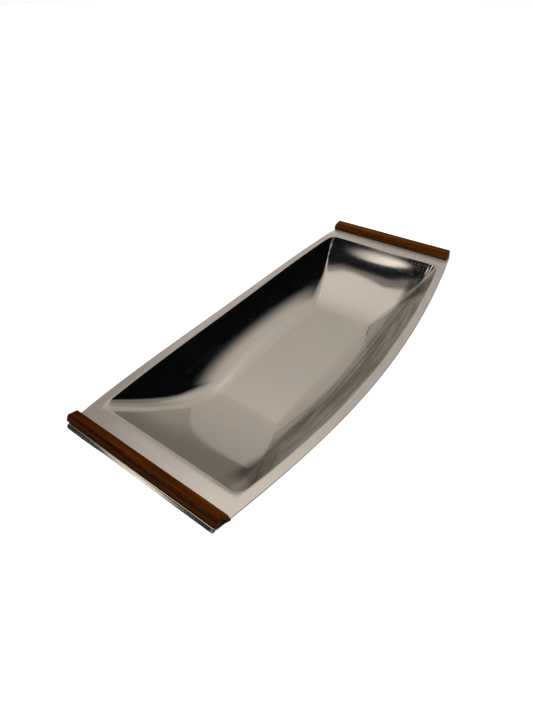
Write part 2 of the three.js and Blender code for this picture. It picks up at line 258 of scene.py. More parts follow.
def surface_row(inset):
    """The loop of the upper side that lies inset inside the rim (negative on the flange)."""
    inset = np.broadcast_to(np.asarray(inset, float), POINT.shape)
    level = np.where(inset < 0, np.maximum(-1, inset / FLANGE_WIDTH), inset / WALL_WIDTH)
    plan = plan_points(np.minimum(level, 1))
    drop = np.minimum(soft_ramp(inset, RIM_ROUNDING), WALL_WIDTH)
    left = soft_ramp(WALL_WIDTH - drop, CREASE_ROUNDING)
    share = wall_drop(1 - np.minimum(1, left / WALL_WIDTH))
    top = FLANGE_TOP + rise(np.where(inset < 0, plan[:, 1], RIM_PLAN[:, 1]))
    return np.column_stack([plan, mix(top, FLOOR_TOP, share)])


def shares(count):
    """Even shares of the way from 0 to 1, without the 0."""
    return np.linspace(0, 1, count + 1)[1:]


def pan_rows():
    """Rows of the upper side, from the outline to the middle of the floor."""
    flange = [surface_row(-mix(RIM_ROUNDING, FLANGE_WIDTH, share))
              for share in np.linspace(1, 0, FLANGE_ROWS)]
    fillet = [surface_row(share * RIM_ROUNDING) for share in np.linspace(-0.85, 1, FILLET_ROWS)]
    inner = WALL_WIDTH - CREASE_ROUNDING
    wall = [surface_row(mix(RIM_ROUNDING, inner, share)) for share in shares(WALL_ROWS)]
    crease = [surface_row(inner + share * CREASE_ROUNDING) for share in shares(CREASE_ROWS)]
    edge = crease[-1]
    floor = [edge * np.array([1 - share, 1 - share, 1]) for share in FLOOR_REACHED * shares(FLOOR_ROWS)]
    return flange + fillet + wall + crease + floor


def hem_rows(outline, end):
    """The hem at one end (+1 or -1): the sheet turns down round the fold and back under.

    The fold draws in at its tips, and on the left it hangs lower and spreads past the flange.
    """
    middle = QUARTER_STEPS if end > 0 else 3 * QUARTER_STEPS
    edge = outline[middle - END_STEPS:middle + END_STEPS + 1]
    slope = math.atan(rise_slope(OUTLINE_HALF_LENGTH))
    along, up = (math.cos(slope), math.sin(slope)), (-math.sin(slope), math.cos(slope))
    fullness = 1.0
    from_tips = (edge[:, 0] - edge[:, 0].min(), edge[:, 0].max() - edge[:, 0])
    for tip_share, from_tip in zip(HEM_TIP_SHARES, from_tips):
        arc = np.sqrt(1 - (1 - np.clip(from_tip / HEM_TIP, 0, 1)) ** 2)
        fullness = fullness * mix(tip_share, 1, arc)
    sag_start, sag_end = HEM_SAG_PLACES
    hang = np.clip((edge[:, 0] - sag_start) / (sag_end - sag_start), 0, 1)
    sag = HEM_SAG * hang**2 * (3 - 2 * hang)
    flare = HEM_FLARE * np.clip(1 - from_tips[0] / HEM_FLARE_LENGTH, 0, 1) ** 2

    def place(outward, upward, spread=0.0):
        y = OUTLINE_HALF_LENGTH + along[0] * outward + up[0] * upward
        z = edge[:, 2] + along[1] * outward + up[1] * upward
        return np.column_stack([edge[:, 0] - spread * flare, np.broadcast_to(end * y, z.shape), z])

    bulge = HEM_RADIUS * fullness - HEM_SAG_THINNING * sag
    radius = HEM_RADIUS + sag / 2
    fold = [place(bulge * math.sin(a), radius * (math.cos(a) - 1), math.sin(a) ** HEM_FLARE_POWER)
            for a in math.pi * shares(FOLD_ROWS)]
    lip = []
    for share in shares(LIP_ROWS):
        hanging = sag * max(0, 1 - share * HEM_LIP / HEM_SAG_WIDTH) ** 2
        lip.append(place(-HEM_LIP * share, -2 * HEM_RADIUS - hanging))
    return [edge] + fold + lip


# ---- Mesh helpers ------------------------------------------------------------------------------


class Skin:
    """Points and faces of one surface, with coincident points merged."""

    def __init__(self):
        self.points = []
        self.faces = []
        self.known = {}

    def add_row(self, row):
        numbers = []
        for p in row:
            key = tuple(np.round(p, 5))
            if key not in self.known:
                self.known[key] = len(self.points)
                self.points.append(p)
            numbers.append(self.known[key])
        return numbers

    def add_rows(self, rows, closed):
        numbers = [self.add_row(row) for row in rows]
        count = len(numbers[0])
        for a, b in zip(numbers, numbers[1:]):
            for i in range(count if closed else count - 1):
                j = (i + 1) % count
                face = [a[i], a[j], b[j], b[i]]
                face = [v for k, v in enumerate(face) if v != face[k - 1]]
                if len(face) > 2:
                    self.faces.append(face)
        return numbers


def vertex_normals(points, faces):
    normals = np.zeros_like(points)
    for face in faces:
        a, b, c = points[face[0]], points[face[1]], points[face[2]]
        n = np.cross(b - a, c - a)
        if len(face) == 4:
            n = n + np.cross(c - a, points[face[3]] - a)
        for v in face:
            normals[v] += n
    return normals / np.linalg.norm(normals, axis=1)[:, None]


def boundary_loop(faces):
    """The numbers of the points round the open edge of a surface, in the faces' own order."""
    following = {}
    edges = {(face[k - 1], face[k]) for face in faces for k in range(len(face))}
    for a, b in edges:
        if (b, a) not in edges:
            following[a] = b
    start = min(following)
    loop = [start]
    while following[loop[-1]] != start:
        loop.append(following[loop[-1]])
    return loop


def thicken(points, faces, thickness, edge_steps):
    """A closed sheet: the surface, a copy set back by the thickness and a half-round edge."""
    normals = vertex_normals(points, faces)
    count = len(points)
    backs = points - normals * thickness
    all_points = [points, backs]
    all_faces = list(faces) + [[v + count for v in reversed(face)] for face in faces]
    loop = boundary_loop(faces)
    n = normals[loop]
    ahead, behind = np.roll(points[loop], -1, axis=0), np.roll(points[loop], 1, axis=0)
    outward = np.cross(ahead - behind, n)
    outward /= np.linalg.norm(outward, axis=1)[:, None]
    points[loop] -= outward * thickness / 2
    backs[loop] -= outward * thickness / 2
    centre = points[loop] - n * thickness / 2
    rows = [loop]
    base = 2 * count
    for k in range(1, edge_steps):
        angle = math.pi * k / edge_steps
        row = centre + (n * math.cos(angle) + outward * math.sin(angle)) * thickness / 2
        all_points.append(row)
        rows.append(list(range(base, base + len(loop))))
        base += len(loop)
    rows.append([v + count for v in loop])
    for a, b in zip(rows, rows[1:]):
        for i in range(len(loop)):
            j = (i + 1) % len(loop)
            all_faces.append([a[j], a[i], b[i], b[j]])
    return np.concatenate(all_points), all_faces


def tube_faces(rings, count):
    """Faces of a tube of equal rings, closed by one flat face at each end."""
    faces = []
    for k in range(rings - 1):
        for i in range(count):
            j = (i + 1) % count
            faces.append([k * count + i, k * count + j, (k + 1) * count + j, (k + 1) * count + i])
    last = (rings - 1) * count
    return faces + [list(range(count))[::-1], list(range(last, last + count))]


def make_object(name, points, faces, material):
    mesh = bpy.data.meshes.new(name)
    mesh.from_pydata((np.asarray(points) * MM).tolist(), [], faces)
    mesh.validate()
    mesh.update()
    mesh.shade_smooth()
    mesh.materials.append(material)
    piece = bpy.data.objects.new(name, mesh)
    bpy.context.scene.collection.objects.link(piece)
    return piece


# ---- Node helpers ------------------------------------------------------------------------------


class Nodes:
    """Short names for making and joining the nodes of one tree."""

    def __init__(self, tree):
        self.tree = tree

    def add(self, kind, links=None, **settings):
        node = self.tree.nodes.new(kind)
        for name, value in settings.items():
            setattr(node, name, value)
        for name, value in (links or {}).items():
            if isinstance(value, bpy.types.NodeSocket):
                self.tree.links.new(value, node.inputs[name])
            else:
                node.inputs[name].default_value = value
        return node

    def math(self, operation, *values):
        node = self.add("ShaderNodeMath", dict(enumerate(values)), operation=operation)
        return node.outputs[0]

    def step(self, value, start, end, low=0.0, high=1.0):
        """A smooth step from low at start to high at end."""
        links = {"Value": value, "From Min": start, "From Max": end, "To Min": low, "To Max": high}
        return self.add("ShaderNodeMapRange", links, interpolation_type="SMOOTHSTEP").outputs[0]

    def blend(self, share, first, second):
        """A colour between two colours."""
        node = self.add("ShaderNodeMix", data_type="RGBA")
        for number, value in ((0, share), (6, first), (7, second)):
            if isinstance(value, bpy.types.NodeSocket):
                self.tree.links.new(value, node.inputs[number])
            else:
                node.inputs[number].default_value = value
        return node.outputs[2]

    def noise(self, vector, scale, detail=2.0, roughness=0.5, distortion=0.0):
        links = {"Vector": vector, "Scale": scale, "Detail": detail,
                 "Roughness": roughness, "Distortion": distortion}
        return self.add("ShaderNodeTexNoise", links).outputs["Fac"]

    def stretched(self, vector, scale, turn=(0.0, 0.0, 0.0)):
        links = {"Vector": vector, "Scale": scale, "Rotation": turn}
        return self.add("ShaderNodeMapping", links).outputs[0]

    def bump(self, height, distance, strength=1.0, normal=None):
        links = {"Height": height, "Distance": distance, "Strength": strength}
        if normal is not None:
            links["Normal"] = normal
        return self.add("ShaderNodeBump", links).outputs[0]


def new_material(name):
    material = bpy.data.materials.new(name)
    material.use_nodes = True
    return material, Nodes(material.node_tree), material.node_tree.nodes["Principled BSDF"]


# ---- Materials ---------------------------------------------------------------------------------

STEEL_WARM = (0.575, 0.548, 0.516, 1)
STEEL_COOL = (0.550, 0.546, 0.528, 1)
STEEL_PALE = (0.540, 0.550, 0.518, 1)
# colour of the painted dark reflection on the right wall
STEEL_PAINTED_REFLECTION = (0.195, 0.188, 0.177, 1)
FLANGE_DARK = (0.500, 0.480, 0.475, 1)
FLANGE_PALE = (0.640, 0.615, 0.605, 1)
# colour of the painted light on the flange
FLANGE_PAINTED_LIGHT = (0.860, 0.812, 0.765, 1)
FLANGE_METALLIC = 0.72  # the brushed surface scatters some light like a matt one
# colour of the painted shade on the flange
FLANGE_PAINTED_SHADE = (0.400, 0.378, 0.370, 1)
SPECK_BROWN = (0.300, 0.190, 0.130, 1)
PIT_DARK = (0.120, 0.105, 0.090, 1)
WOOD_DARK = (0.024, 0.0040, 0.0005, 1)
WOOD_MIDDLE = (0.092, 0.0200, 0.0008, 1)
WOOD_LIGHT = (0.170, 0.0560, 0.0075, 1)
# dark of the pores, also the colour of the painted shade lines on the bars
WOOD_PORE_AND_PAINTED_SHADE = (0.008, 0.0010, 0.0003, 1)
WOOD_WORN = (0.062, 0.0400, 0.0270, 1)
SCREW_DARK = (0.330, 0.325, 0.315, 1)
SCREW_PALE = (0.560, 0.550, 0.530, 1)
SCREW_STAIN = (0.160, 0.090, 0.050, 1)


def steel_material():
    """Polished in the basin, brushed on the flange, with clouds, scratches, pits and speckles."""
    material, nodes, shader = new_material("polished_steel")
    link = material.node_tree.links.new
    place = nodes.add("ShaderNodeTexCoord").outputs["Object"]
    basin = nodes.add("ShaderNodeAttribute", attribute_name="basin").outputs["Fac"]
    x, y, z = nodes.add("ShaderNodeSeparateXYZ", {0: place}).outputs
    from_middle = nodes.math("ABSOLUTE", y)
    at_end = nodes.step(from_middle, (RIM_HALF_LENGTH - 3) * MM, (RIM_HALF_LENGTH + 3) * MM)

    # Brushed grain runs along the sides and across the ends.
    side_grain = nodes.noise(nodes.stretched(place, (2600, 26, 300)), 1, detail=3, roughness=0.6)
    end_grain = nodes.noise(nodes.stretched(place, (26, 2600, 300)), 1, detail=3, roughness=0.6)
    grain = nodes.math("ADD", nodes.math("MULTIPLY", side_grain, nodes.math("SUBTRACT", 1, at_end)),
                       nodes.math("MULTIPLY", end_grain, at_end))
    clouds = nodes.noise(place, 26, detail=4, roughness=0.55)
    blotches = nodes.noise(place, 95, detail=3, roughness=0.6, distortion=0.6)

    # Fine scratches, mostly down the walls, and a few across.
    down = nodes.noise(nodes.stretched(place, (3100, 55, 420), (0, 0, 0.05)), 1, detail=1)
    across = nodes.noise(nodes.stretched(place, (60, 2900, 600), (0, 0, 0.5)), 1, detail=1)
    scratches = nodes.math("MAXIMUM", nodes.step(down, 0.63, 0.74), nodes.step(across, 0.68, 0.78, 0, 0.7))

    pits = nodes.step(nodes.noise(place, 640, detail=1), 0.76, 0.81)
    pits = nodes.math("MULTIPLY", pits, nodes.step(nodes.noise(place, 33, detail=0), 0.56, 0.64))

    satin = nodes.math("MULTIPLY_ADD", grain, 0.22, 0.24)
    polish = nodes.math("MULTIPLY_ADD", nodes.step(clouds, 0.42, 0.66), 0.03, 0.05)
    polish = nodes.math("MULTIPLY_ADD", scratches, 0.10, polish)
    flange_part = nodes.math("MULTIPLY", satin, nodes.math("SUBTRACT", 1, basin))
    rough = nodes.math("MULTIPLY_ADD", polish, basin, flange_part)
    rough = nodes.math("MULTIPLY_ADD", pits, 0.3, rough)
    link(rough, shader.inputs["Roughness"])

    tone = nodes.blend(nodes.step(clouds, 0.3, 0.7), STEEL_WARM, STEEL_COOL)
    tone = nodes.blend(nodes.step(blotches, 0.45, 0.75, 0, 0.5), tone, STEEL_PALE)
    satin_tone = nodes.blend(nodes.step(grain, 0.3, 0.7), FLANGE_DARK, FLANGE_PALE)
    # Painted light brightens the flange at the far end, by the far bar, and towards the near right corner;
    # painted shade darkens it at the near left.
    to_near = nodes.math("MULTIPLY", y, -0.6)
    painted_light_share = nodes.step(nodes.math("ADD", to_near, x), 0.088, 0.155, 0.0, 0.74)
    painted_shade_share = nodes.step(nodes.math("SUBTRACT", to_near, x), 0.098, 0.150)
    painted_light_share = nodes.math("MAXIMUM", painted_light_share, nodes.step(y, 0.152, 0.163, 0.0, 1.0))
    satin_tone = nodes.blend(painted_light_share, satin_tone, FLANGE_PAINTED_LIGHT)
    satin_tone = nodes.blend(painted_shade_share, satin_tone, FLANGE_PAINTED_SHADE)
    # Reddish specks lie here and there in the brushed lines.
    specks = nodes.noise(nodes.stretched(place, (420, 2300, 300)), 1, detail=3, roughness=0.7)
    specks = nodes.step(specks, 0.64, 0.76, 0, 0.55)
    specks = nodes.math("MULTIPLY", specks, nodes.step(nodes.noise(place, 60, detail=1), 0.45, 0.6))
    satin_tone = nodes.blend(specks, satin_tone, SPECK_BROWN)
    tone = nodes.blend(basin, satin_tone, tone)
    tone = nodes.blend(nodes.math("MULTIPLY", pits, 0.8), tone, PIT_DARK)
    # Painted dark reflection on the upper part of the right wall, streaky in the middle, gone at the ends.
    painted_reflection = nodes.noise(nodes.stretched(place, (420, 7, 520)), 1, detail=2)
    painted_reflection = nodes.step(painted_reflection, 0.36, 0.60, 1.0, 0.35)
    painted_reflection = nodes.math("MAXIMUM", painted_reflection, nodes.step(from_middle, 0.09, 0.12))
    painted_reflection = nodes.math("MULTIPLY", painted_reflection, nodes.step(x, 0.036, 0.043))
    painted_reflection = nodes.math("MULTIPLY", painted_reflection, nodes.step(from_middle, 0.130, 0.146, 1.0, 0.2))
    painted_reflection = nodes.math("MULTIPLY", painted_reflection, nodes.math("MULTIPLY", basin, nodes.step(z, 0.0045, 0.0085)))
    tone = nodes.blend(painted_reflection, tone, STEEL_PAINTED_REFLECTION)
    link(tone, shader.inputs["Base Color"])
    link(nodes.step(basin, 0.0, 0.6, FLANGE_METALLIC, 1.0), shader.inputs["Metallic"])

    low = nodes.math("MULTIPLY", grain, nodes.math("SUBTRACT", 1, basin))
    height = nodes.math("MULTIPLY_ADD", nodes.math("MULTIPLY", scratches, basin), -0.12, low)
    height = nodes.math("MULTIPLY_ADD", pits, -1.5, height)
    link(nodes.bump(height, 0.00002, 0.6), shader.inputs["Normal"])
    return material


def wood_material():
    """Dark oiled hardwood, its grain running along the bar, greyed on the worn edges."""
    material, nodes, shader = new_material("dark_wood")
    link = material.node_tree.links.new
    place = nodes.add("ShaderNodeTexCoord").outputs["Object"]
    wear = nodes.add("ShaderNodeAttribute", attribute_name="wear").outputs["Fac"]
    painted_shade_line = nodes.add("ShaderNodeAttribute", attribute_name="painted_shade_line").outputs["Fac"]
    bands = nodes.noise(nodes.stretched(place, (9, 330, 330)), 1, detail=2, distortion=0.5)
    fibres = nodes.noise(nodes.stretched(place, (38, 1500, 1500)), 1, detail=4, roughness=0.65)
    pores = nodes.noise(nodes.stretched(place, (130, 2600, 2600)), 1, detail=2)
    pores = nodes.step(pores, 0.62, 0.72)
    far = nodes.step(nodes.add("ShaderNodeSeparateXYZ", {0: place}).outputs[1], -0.1, 0.1, -0.02, 0.10)
    figure = nodes.math("MULTIPLY_ADD", bands, 0.55, nodes.math("MULTIPLY_ADD", fibres, 0.45, far))
    tone = nodes.blend(nodes.step(figure, 0.34, 0.52), WOOD_DARK, WOOD_MIDDLE)
    tone = nodes.blend(nodes.step(figure, 0.50, 0.68), tone, WOOD_LIGHT)
    # Painted shade below the outer top edge and along the foot, patchy with the grain bands.
    shade = nodes.math("MULTIPLY", painted_shade_line, nodes.step(bands, 0.25, 0.6, 1.0, 0.6))
    tone = nodes.blend(shade, tone, WOOD_PORE_AND_PAINTED_SHADE)
    rubbed = nodes.step(nodes.noise(place, 420, detail=3), 0.42, 0.68, 0, 0.75)
    rubbed = nodes.math("MULTIPLY", wear, rubbed)
    tone = nodes.blend(rubbed, tone, WOOD_WORN)
    tone = nodes.blend(nodes.math("MULTIPLY", pores, 0.6), tone, WOOD_PORE_AND_PAINTED_SHADE)
    link(tone, shader.inputs["Base Color"])
    link(nodes.math("MULTIPLY_ADD", fibres, 0.3, 0.28), shader.inputs["Roughness"])
    shader.inputs["Specular IOR Level"].default_value = 0.012
    height = nodes.math("MULTIPLY_ADD", pores, -0.6, fibres)
    link(nodes.bump(height, 0.00006, 0.5), shader.inputs["Normal"])
    return material


def screw_material():
    """Plain screw steel, dulled and stained where it has been wet."""
    material, nodes, shader = new_material("screw_steel")
    link = material.node_tree.links.new
    place = nodes.add("ShaderNodeTexCoord").outputs["Object"]
    rings = nodes.noise(nodes.stretched(place, (900, 900, 5200)), 1, detail=2)
    stains = nodes.noise(place, 520, detail=4, roughness=0.65)
    tone = nodes.blend(nodes.step(rings, 0.3, 0.7), SCREW_DARK, SCREW_PALE)
    tone = nodes.blend(nodes.step(stains, 0.56, 0.72, 0, 0.7), tone, SCREW_STAIN)
    link(tone, shader.inputs["Base Color"])
    link(nodes.step(stains, 0.35, 0.75, 0.26, 0.62), shader.inputs["Roughness"])
    shader.inputs["Metallic"].default_value = 1
    link(nodes.bump(nodes.math("ADD", rings, stains), 0.00004, 0.5), shader.inputs["Normal"])
    return material


# ---- Pieces ------------------------------------------------------------------------------------


def add_attribute(piece, name, values):
    attribute = piece.data.attributes.new(name, "FLOAT", "POINT")
    attribute.data.foreach_set("value", np.asarray(values, np.float32))


def mark_basin(piece, points, front_count):
    """Marks the polished basin (1) and the satin flange (0), with underside and hems in between."""
    along = points[:, 1] / RIM_HALF_LENGTH
    side = RIM_HALF_WIDTH + RIM_BOW * (1 - along**2) - np.abs(points[:, 0])
    inside = np.minimum(side, RIM_HALF_LENGTH - np.abs(points[:, 1]))
    marks = np.clip((inside + POLISH_START) / POLISH_FADE, 0, 1)
    marks[front_count:] *= UNDERSIDE_POLISH
    marks[np.abs(points[:, 1]) > OUTLINE_HALF_LENGTH - HEM_POLISH_REACH] = HEM_POLISH
    add_attribute(piece, "basin", marks)


def make_pan(material):
    rows = pan_rows()
    skin = Skin()
    numbers = skin.add_rows(rows, closed=True)
    skin.faces.append(list(numbers[-1]))
    for end in (-1, 1):
        hem = hem_rows(rows[0], end)
        skin.add_rows([row[::-1] for row in hem], closed=False)
    points, faces = thicken(np.array(skin.points), skin.faces, SHEET, EDGE_STEPS)
    piece = make_object("fine_pan", points, faces, material)
    mark_basin(piece, points, len(skin.points))
    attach(piece, "root")
    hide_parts("steel_pan")


def end_place(end, x, outward, up):
    """A point of an end's frame: it sits on the flange at the grip line, square to the slope."""
    slope = math.atan(rise_slope(GRIP_LINE))
    y = GRIP_LINE + outward * math.cos(slope) - up * math.sin(slope)
    z = FLANGE_TOP + rise(GRIP_LINE) + outward * math.sin(slope) + up * math.cos(slope)
    return np.stack(np.broadcast_arrays(x, end * y, z), axis=-1)


def bar_section(word):
    """The rounded cross-section: points, how rounded each is, and its shares across and up."""
    corners = np.array(BAR_SECTIONS[word])
    points, edges = [], []
    for i, corner in enumerate(corners):
        before, after = corners[i - 1] - corner, corners[(i + 1) % 4] - corner
        entry = corner + before / np.linalg.norm(before) * BAR_EDGE_RADIUS
        leave = corner + after / np.linalg.norm(after) * BAR_EDGE_RADIUS
        for t in np.linspace(0, 1, 7):
            points.append((1 - t) ** 2 * entry + 2 * t * (1 - t) * corner + t**2 * leave)
            edges.append(math.sin(math.pi * t) if i > 1 else 0.0)
        ahead = corners[(i + 1) % 4]
        far_entry = ahead + (corner - ahead) / np.linalg.norm(ahead - corner) * BAR_EDGE_RADIUS
        for t in (0.1, 0.37, 0.63, 0.9):
            points.append(mix(leave, far_entry, t))
            edges.append(0.0)
    points = np.array(points)
    up = (points[:, 1] - corners[0, 1]) / (corners[2, 1] - corners[0, 1])
    inner = mix(corners[0, 0], corners[3, 0], up)
    outer = mix(corners[1, 0], corners[2, 0], up)
    return points, np.array(edges), (points[:, 0] - inner) / (outer - inner), up


def make_bar(word, end, material):
    """One bar: its section repeated along it, sloping and rounded at both ends."""
    section, edges, across, up = bar_section(word)
    centre = section.mean(axis=0)

    def cut(ends):
        foot = mix(ends[0], ends[1], across)
        return mix(foot, mix(ends[3], ends[2], across), up**BAR_END_SWELLS[word])

    left, right = (cut(ends) for ends in BAR_ENDS[word])
    left_tip, right_tip = BAR_TIP_RADII[word]
    angles = np.linspace(0, math.pi / 2, BAR_TIP_STEPS + 1)[:-1]
    stations = [(left + left_tip * (1 - math.cos(a)), left_tip * (1 - math.sin(a))) for a in angles]
    for t in np.linspace(0, 1, BAR_STEPS):
        stations.append((mix(left + left_tip, right - right_tip, t), 0.0))
    for a in angles[::-1]:
        stations.append((right - right_tip * (1 - math.cos(a)), right_tip * (1 - math.sin(a))))
    rows, wear = [], []

    def add_station(x, ring, worn):
        long_wave, short_wave = np.cos(x * 0.071 + up * 4), np.sin(x * 0.13 + across * 3 + end)
        dent = 0.5 + 0.5 * short_wave * long_wave
        ring = ring + (centre - ring) * (BAR_DENT * dent / 4)[:, None]
        rows.append(end_place(end, x, ring[:, 0], ring[:, 1]))
        wear.append(np.maximum(edges, worn))

    inward = (centre - section) / np.linalg.norm(centre - section, axis=1)[:, None]

    def add_cap(x, tip, share):
        add_station(mix(x.mean(), x, share), mix(centre, section + inward * tip, share), 0.0)

    for share in BAR_CAP_SHARES:
        add_cap(left, left_tip, share)
    for x, inset in stations:
        add_station(x, section + inward * inset, min(1.0, inset))
    for share in reversed(BAR_CAP_SHARES):
        add_cap(right, right_tip, share)

    faces = tube_faces(len(rows), len(section))
    if end > 0:
        faces = [face[::-1] for face in faces]
    piece = make_object(f"fine_{word}_bar", np.concatenate(rows), faces, material)
    add_attribute(piece, "wear", np.concatenate(wear))
    # Painted shade: a dark line below the outer top edge, for a dark reflection there, and one along the
    # foot, for the shadow in the gap under the bar.
    painted_shade_line = np.exp(-(((across - 0.97) / 0.16) ** 2) - ((up - 0.88) / 0.26) ** 2)
    painted_shade_line = np.maximum(painted_shade_line, np.exp(-((up / 0.17) ** 2)))
    add_attribute(piece, "painted_shade_line", np.tile(painted_shade_line, len(rows)))
    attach(piece, "root")
    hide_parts(f"{word}_grip_bar")


def screw_profile():
    """Radius and height of a round-head screw, from the middle of its head to its point."""
    seat = -2 * HEM_RADIUS - SCREW_GAP
    foot = seat - SCREW_HEAD_HEIGHT
    brim = seat - SCREW_BRIM
    dome = [(SCREW_HEAD_RADIUS * math.sin(a), brim - (SCREW_HEAD_HEIGHT - SCREW_BRIM) * math.cos(a))
            for a in np.linspace(0.08, math.pi / 2, 10)]
    rim = [(SCREW_HEAD_RADIUS, seat - SCREW_CHAMFER), (SCREW_HEAD_RADIUS - SCREW_CHAMFER, seat)]
    shank = [(SCREW_SHANK_RADIUS, seat), (SCREW_SHANK_RADIUS, SCREW_BITE - SCREW_POINT)]
    return [(0.02, foot)] + dome + rim + shank + [(SCREW_TIP_RADIUS, SCREW_BITE)]


def turned_mesh(name, profile, sides):
    """A closed lathe about Z, in millimetres turned to metres."""
    angles = np.arange(sides) * 2 * math.pi / sides
    points = [(r * math.cos(a), r * math.sin(a), z) for r, z in profile for a in angles]
    mesh = bpy.data.meshes.new(name)
    mesh.from_pydata((np.array(points) * MM).tolist(), [], tube_faces(len(profile), sides))
    mesh.update()
    return mesh


def slotted_screw_mesh(material):
    """The screw with a slot cut across its head."""
    width, depth = SCREW_SLOT
    foot = -2 * HEM_RADIUS - SCREW_GAP - SCREW_HEAD_HEIGHT
    blank = bpy.data.objects.new("screw_blank", turned_mesh("screw_blank", screw_profile(), 48))
    reach = 2 * SCREW_HEAD_RADIUS
    box = [(x, y, z) for z in (foot - 1, foot + depth) for x, y in
           ((-reach, -width / 2), (reach, -width / 2), (reach, width / 2), (-reach, width / 2))]
    sides = [[i, (i + 1) % 4, 4 + (i + 1) % 4, 4 + i] for i in range(4)]
    cutter_mesh = bpy.data.meshes.new("slot")
    cutter_mesh.from_pydata((np.array(box) * MM).tolist(), [], [[3, 2, 1, 0], [4, 5, 6, 7]] + sides)
    cutter = bpy.data.objects.new("slot", cutter_mesh)
    for item in (blank, cutter):
        bpy.context.scene.collection.objects.link(item)
    carve = blank.modifiers.new("slot", "BOOLEAN")
    carve.operation = "DIFFERENCE"
    carve.object = cutter
    ready = blank.evaluated_get(bpy.context.evaluated_depsgraph_get())
    mesh = bpy.data.meshes.new_from_object(ready)
    for item in (blank, cutter):
        bpy.data.objects.remove(item)
    mesh.name = "slotted_screw"
    mesh.materials.clear()
    mesh.materials.append(material)
    mesh.shade_smooth()
    mesh.set_sharp_from_angle(angle=math.radians(32))
    return mesh


def make_screws(word, end, mesh):
    slope = math.atan(rise_slope(GRIP_LINE))
    for side, x in (("left", -SCREW_SPACING / 2), ("right", SCREW_SPACING / 2)):
        piece = bpy.data.objects.new(f"fine_{word}_{side}_screw", mesh)
        bpy.context.scene.collection.objects.link(piece)
        turn = Matrix.Rotation(0.7 + 1.9 * x * end / SCREW_SPACING, 4, "Z")
        lean = Matrix.Rotation(end * slope, 4, "X")
        spot = end_place(end, x, SCREW_FROM_GRIP_LINE, 0.0) * MM
        piece.matrix_world = Matrix.Translation(spot.tolist()) @ lean @ turn
        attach(piece, "root")
        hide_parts(f"{word}_{side}_bar_screw")


steel = steel_material()
wood = wood_material()
screw_mesh = slotted_screw_mesh(screw_material())
make_pan(steel)
for word, end in (("near", -1), ("far", 1)):
    make_bar(word, end, wood)
    make_screws(word, end, screw_mesh)

# ---- Stage and camera --------------------------------------------------------------------------

CAMERA_PLACE = (0.1516, -0.2519, 0.2526)
CAMERA_TARGET = (-0.0106, -0.0333, 0.02)
CAMERA_ROLL = -0.83
CAMERA_LENS = 22.68

FLOOR_REACH = 6
FLOOR_GREY = (0.3, 0.3, 0.3, 1)
FLOOR_GLOW = 1.0

OVERHEAD_PLACE = (-0.2, 0.3, 1.5)
OVERHEAD_SIZE = 1.6
OVERHEAD_POWER = 10


def make_camera():
    data = bpy.data.cameras.new("camera")
    data.sensor_width = 36
    data.lens = CAMERA_LENS
    data.clip_start = 0.01
    camera = bpy.data.objects.new("camera", data)
    bpy.context.scene.collection.objects.link(camera)
    camera.location = CAMERA_PLACE
    direction = Vector(CAMERA_TARGET) - Vector(CAMERA_PLACE)
    look = direction.to_track_quat("-Z", "Y").to_matrix().to_4x4()
    roll = Matrix.Rotation(math.radians(CAMERA_ROLL), 4, "Z")
    camera.rotation_euler = (look @ roll).to_euler()
    bpy.context.scene.camera = camera


def make_floor():
    """A pale table that looks white and stays out of the steel's reflections."""
    r = FLOOR_REACH
    mesh = bpy.data.meshes.new("floor")
    mesh.from_pydata([(-r, -r, 0), (r, -r, 0), (r, r, 0), (-r, r, 0)], [], [(0, 1, 2, 3)])
    floor = bpy.data.objects.new("floor", mesh)
    material, _, shader = new_material("pale_floor")
    shader.inputs["Base Color"].default_value = FLOOR_GREY
    shader.inputs["Roughness"].default_value = 0.9
    shader.inputs["Emission Color"].default_value = (1, 1, 1, 1)
    shader.inputs["Emission Strength"].default_value = FLOOR_GLOW
    mesh.materials.append(material)
    bpy.context.scene.collection.objects.link(floor)
    floor.visible_glossy = False


def make_overhead_light():
    """A wide soft light over the table. It lights wood and floor, and stays out of the steel."""
    data = bpy.data.lights.new("overhead", "AREA")
    data.size = OVERHEAD_SIZE
    data.energy = OVERHEAD_POWER
    light = bpy.data.objects.new("overhead", data)
    light.location = OVERHEAD_PLACE
    light.rotation_euler = Vector(light.location).to_track_quat("Z", "Y").to_euler()
    light.visible_glossy = False
    bpy.context.scene.collection.objects.link(light)


# ---- The room that the steel reflects ----------------------------------------------------------

WINDOW_COLOUR = (1.0, 0.90, 0.79, 1)
ROOM_COLOUR = (0.75, 0.88, 1.0, 1)
ROOM_LIGHT = 0.004
WINDOW_LIGHT = 0.505
WINDOW_LIGHT_PER_HEIGHT = 0.22
# Brighter patches of the window: strength, middle and reach on the ceiling.
WINDOW_GLOWS = (
    (0.30, (-0.47, 0.18), (0.34, 0.53)),
    (0.34, (0.06, 0.51), (0.17, 0.24)),
)
WINDOW_SHADE = 0.34
SILL_LIGHT = 0.30
LAMP_PLACE = (-0.337, -0.172)
LAMP_REACH = (0.076, 0.046)
LAMP_LEAN = 0.1
LAMP_LIGHT = 1.55
HAZE = (0.012, (-0.33, -0.14), (0.22, 0.16))  # dim part of the room round the lamp
STRIP_MIDDLE = -0.63
STRIP_LEAN = 0.33
STRIP_LIGHT = 1.3
DOORWAY_MIDDLE = -0.540
DOORWAY_LIGHT = 1.4
TABLE_LIGHTS = (0.05, 0.42)  # towards the viewer and away from the viewer
FRONT_ROOM_LIGHT = 0.34
BACKDROP_LIGHT = 0.97


